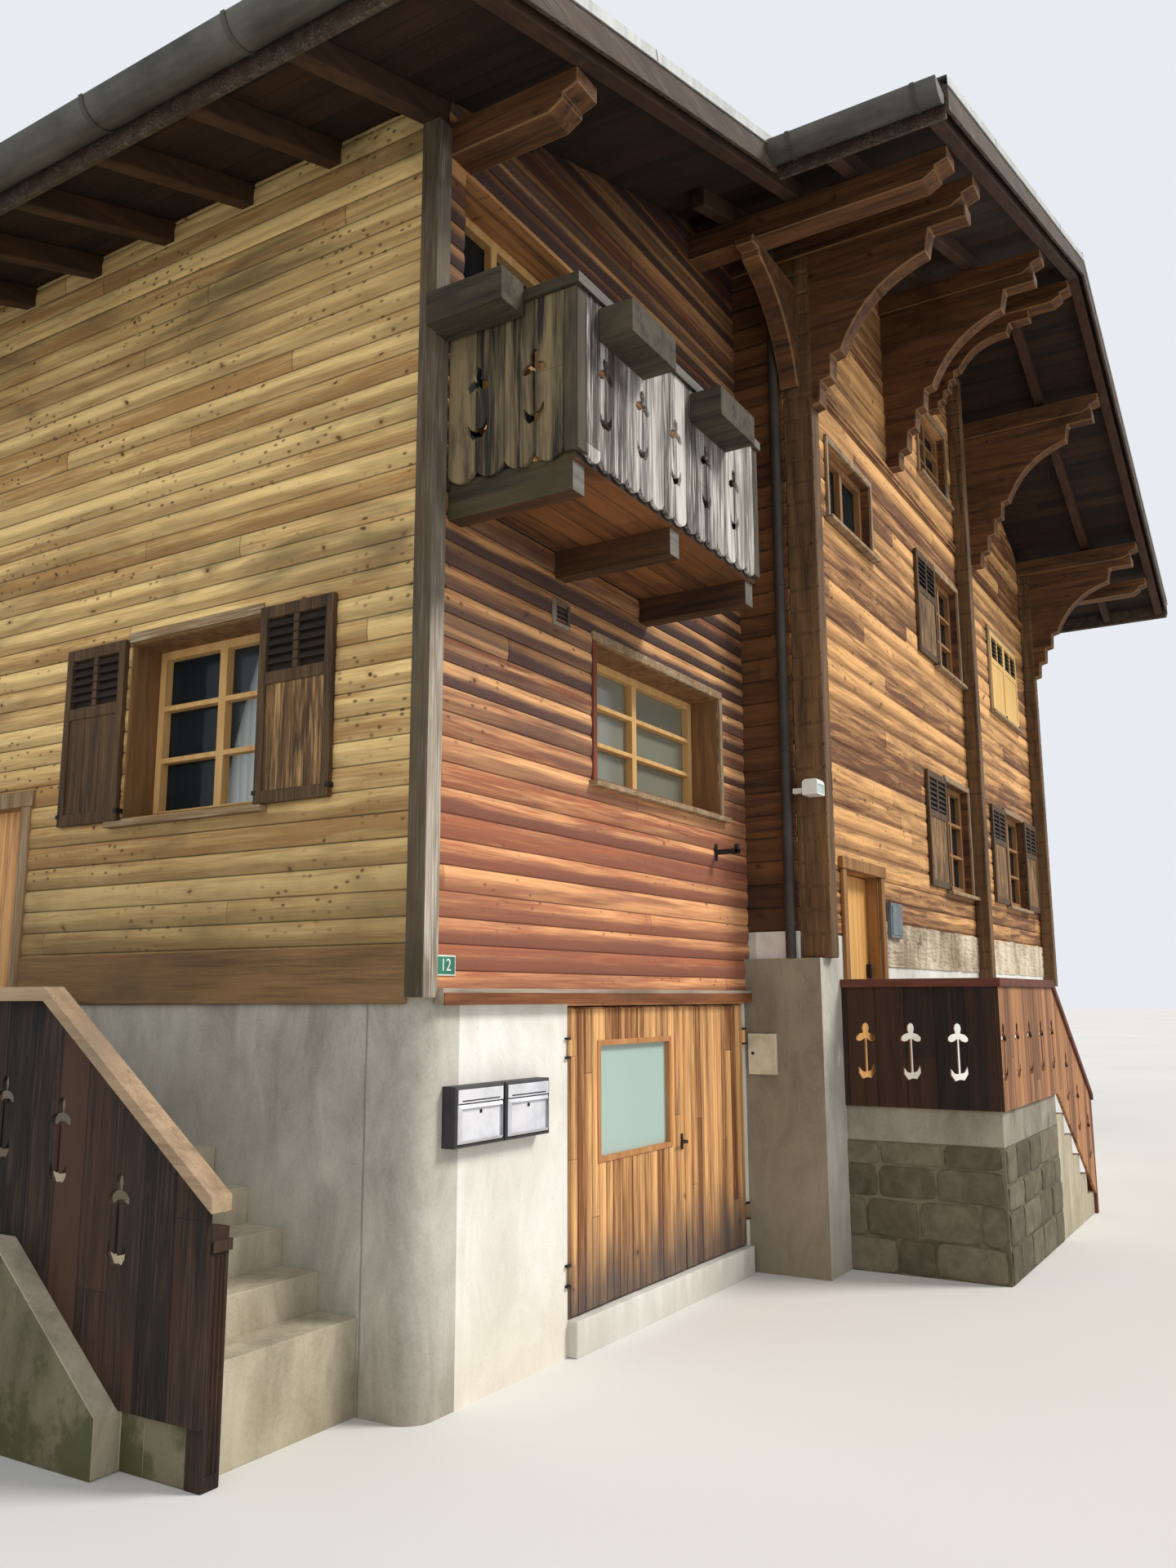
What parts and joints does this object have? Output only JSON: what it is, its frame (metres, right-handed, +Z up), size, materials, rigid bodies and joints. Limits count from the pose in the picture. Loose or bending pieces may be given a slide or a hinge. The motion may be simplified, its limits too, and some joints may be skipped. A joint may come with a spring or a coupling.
{
  "type": "alpine chalet",
  "caption": "Two-part alpine timber house on masonry bases, with one gable roof, carved purlin consoles, balcony, terrace and hinged doors",
  "frame": {"origin": "Outer corner of the annex front in plan, lowest ground in height", "axes": "+X along the gable fronts to the right, +Y into the depth, +Z up"},
  "size_m": [15.9506, 11.65, 9.72],
  "materials": {
    "render": "pale cement render",
    "concrete": "cast concrete",
    "floor_wood": "planed boards",
    "honey_boards": "weathered larch boards",
    "red_boards": "sun-burnt larch boards",
    "grey_trim": "weathered boards",
    "logs": "weathered squared logs",
    "roof_wood": "dark stained timber",
    "roof_cover": "dark slates",
    "gutter_metal": "weathered zinc",
    "iron": "dark iron",
    "balcony_floor": "stained boards",
    "grey_boards": "silver-grey weathered boards",
    "window_wood": "varnished softwood",
    "glass": "clear glazing",
    "casing_wood": "weathered boards",
    "shutter_wood": "dark weathered wood",
    "door_boards": "varnished vertical boards",
    "pale_door": "pale varnished wood",
    "stone_masonry": "rough stone and mortar",
    "terrace_wood": "red-brown stained boards",
    "stair_wood": "weathered brown boards",
    "letterbox": "painted steel",
    "ivory_plastic": "matt plastic"
  },
  "bodies": {
    "root": {"annex_base_left": "render", "annex_base_front": "render", "annex_base_back": "render", "annex_ground_slab": "concrete", "annex_floor": "floor_wood", "annex_upper_floor": "floor_wood", "annex_left_wall": "honey_boards", "annex_front_wall": "red_boards", "annex_back_wall": "honey_boards", "annex_trim": "grey_trim", "main_base_front": "render", "main_base_left": "render", "main_base_right": "render", "main_base_back": "render", "main_ground_floor": "floor_wood", "main_upper_floor": "floor_wood", "attic_floor": "floor_wood", "front_wall_left_of_door": "logs", "front_wall_beside_door": "logs", "front_wall": "logs", "main_left_wall": "logs", "main_right_wall": "logs", "main_back_wall": "logs", "log_ends": "logs", "consoles": "roof_wood", "purlins": "roof_wood", "rafters_left": "roof_wood", "rafters_right": "roof_wood", "deck_left": "roof_wood", "deck_right": "roof_wood", "cover_left": "roof_cover", "cover_right": "roof_cover", "barge_boards": "roof_wood", "gutters": "gutter_metal", "downpipe": "gutter_metal", "balcony_deck": "balcony_floor", "balcony_boards": "grey_boards", "balcony_rails": "grey_boards", "window_frames": "window_wood", "window_casings": "casing_wood", "window_glass": "glass", "shutters": "shutter_wood", "garage_threshold": "concrete", "terrace_plinth": "stone_masonry", "terrace_slab": "concrete", "terrace_boards": "terrace_wood", "terrace_rails": "terrace_wood", "terrace_steps": "concrete", "hinge_pins": "iron", "stair_flight": "concrete", "stair_boards": "stair_wood", "stair_rails": "stair_wood", "side_door": "door_boards", "letterboxes": "letterbox", "meter_box": "ivory_plastic", "floodlight": "ivory_plastic"},
    "garage_left": {"garage_left_leaf": "door_boards", "garage_left_glass": "glass"},
    "garage_right": {"garage_right_leaf": "door_boards"},
    "terrace_leaf": {"terrace_door": "pale_door"}
  },
  "joints": [
    {"name": "garage_left_swing", "type": "hinge", "parent": "root", "child": "garage_left", "pos_m": [1.314, -0.014, 1], "axis": [0, 0, -1], "range_deg": [0, 105]},
    {"name": "garage_right_swing", "type": "hinge", "parent": "root", "child": "garage_right", "pos_m": [3.706, -0.014, 1], "axis": [0, 0, 1], "range_deg": [0, 90]},
    {"name": "terrace_door_swing", "type": "hinge", "parent": "root", "child": "terrace_leaf", "pos_m": [4.864, -0.246, 2], "axis": [0, 0, 1], "range_deg": [0, 90]}
  ]
}
